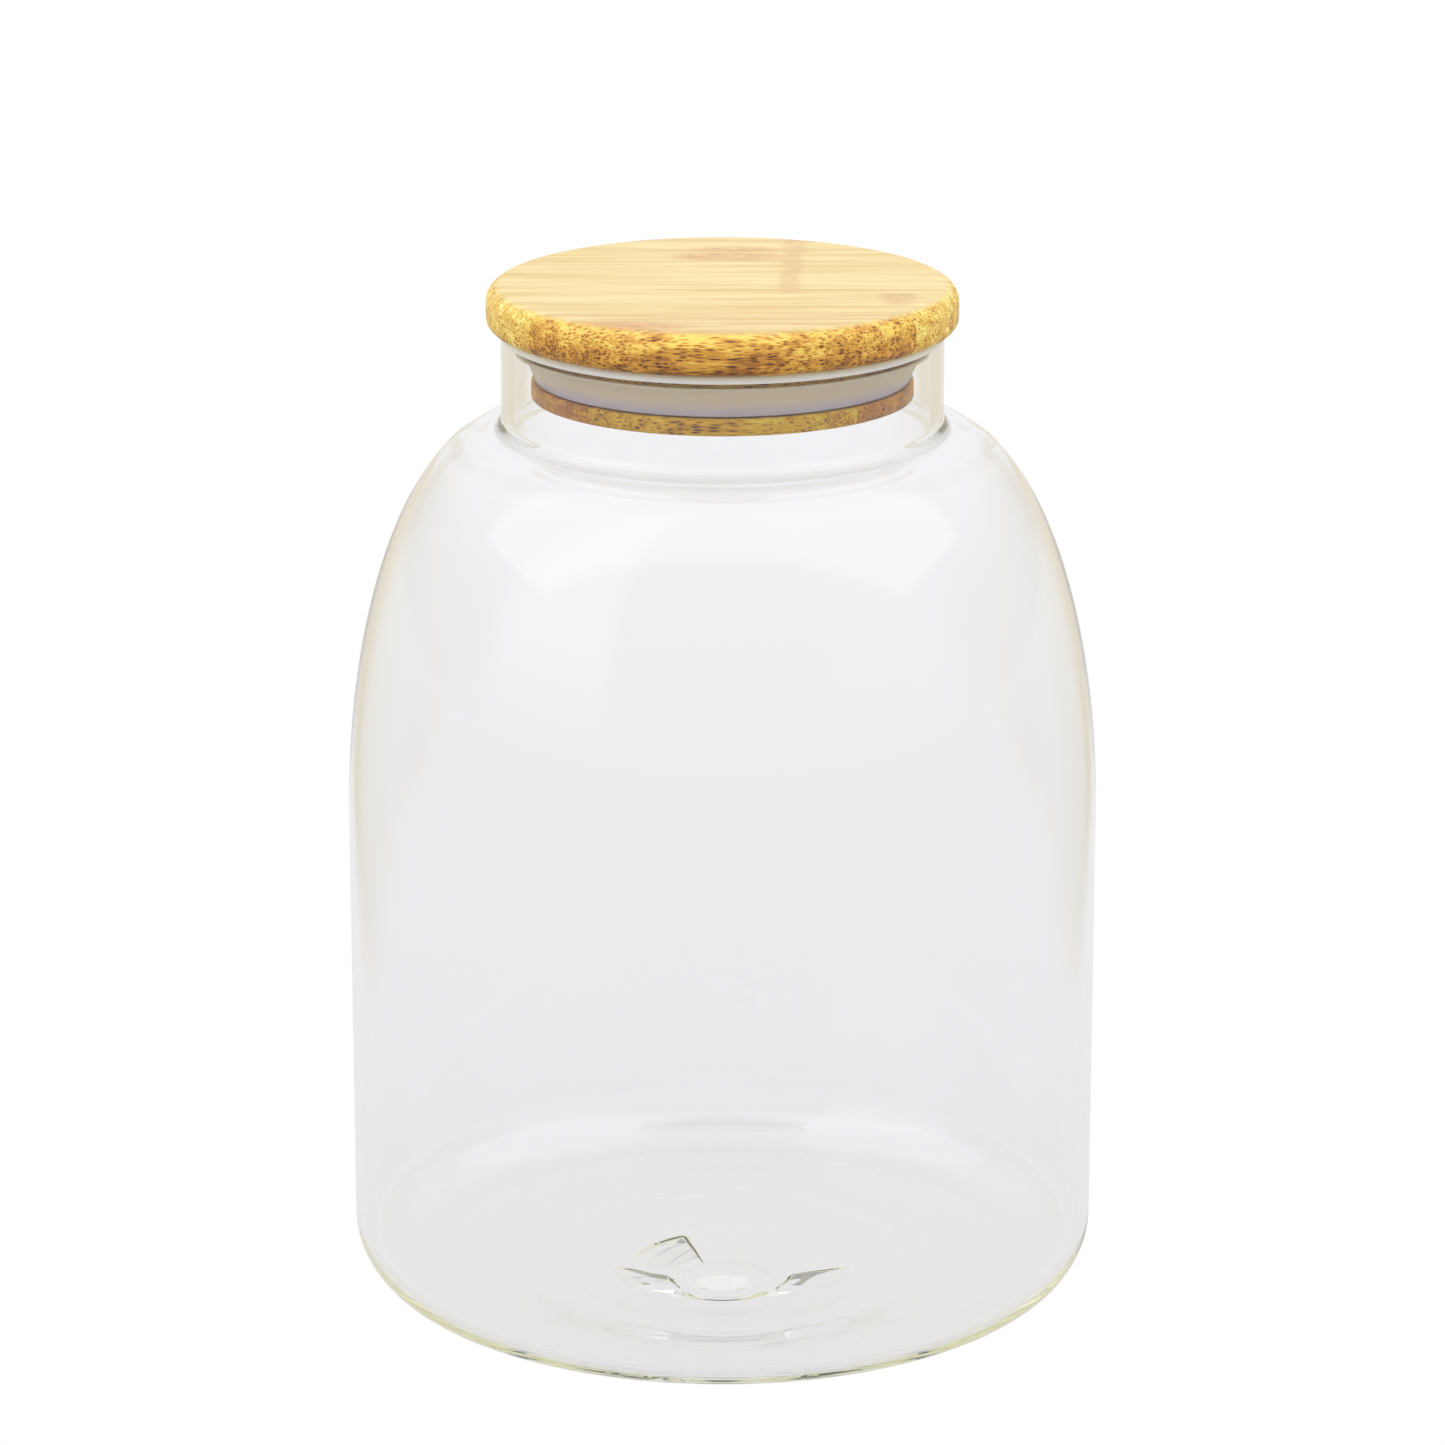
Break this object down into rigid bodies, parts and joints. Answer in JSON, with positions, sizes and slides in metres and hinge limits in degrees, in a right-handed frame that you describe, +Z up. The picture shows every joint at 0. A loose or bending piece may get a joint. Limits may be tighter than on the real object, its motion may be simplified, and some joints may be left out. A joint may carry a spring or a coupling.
{
  "type": "lidded glass storage jar",
  "caption": "Clear blown-glass storage jar with a domed shoulder and short straight neck, closed by a bamboo plug lid with a silicone sealing ring.",
  "frame": {"origin": "centre of the jar's standing face", "axes": "+Z up along the jar's axis, +X along the grain of the bamboo lid, -Y towards the viewer"},
  "size_m": [0.1936, 0.1936, 0.2665],
  "materials": {
    "clear_glass": "clear, mouth-blown, fire-polished rim",
    "silicone": "translucent white silicone, satin",
    "bamboo_pale": "sanded and oiled laminated bamboo, pale",
    "bamboo_toasted": "sanded and oiled laminated bamboo, steamed to brown"
  },
  "bodies": {
    "jar": {"glass_jar": "clear_glass"},
    "seal": {"silicone_seal": "silicone"},
    "lid": {"lid_cap_strip_1": "bamboo_toasted", "lid_cap_strip_2": "bamboo_pale", "lid_cap_strip_3": "bamboo_pale", "lid_cap_strip_4": "bamboo_pale", "lid_cap_strip_5": "bamboo_pale", "lid_plug_strip_1": "bamboo_pale", "lid_plug_strip_2": "bamboo_toasted", "lid_plug_strip_3": "bamboo_toasted", "lid_plug_strip_4": "bamboo_toasted", "lid_plug_strip_5": "bamboo_toasted"}
  },
  "joints": [
    {"name": "lid_lift", "type": "slide", "parent": "jar", "child": "seal", "axis": [0, 0, 1], "range_m": [0, 0.12]},
    {"name": "lid_turn", "type": "hinge", "parent": "seal", "child": "lid", "pos_m": [0, 0, 0.2555], "axis": [0, 0, 1], "continuous": true}
  ]
}
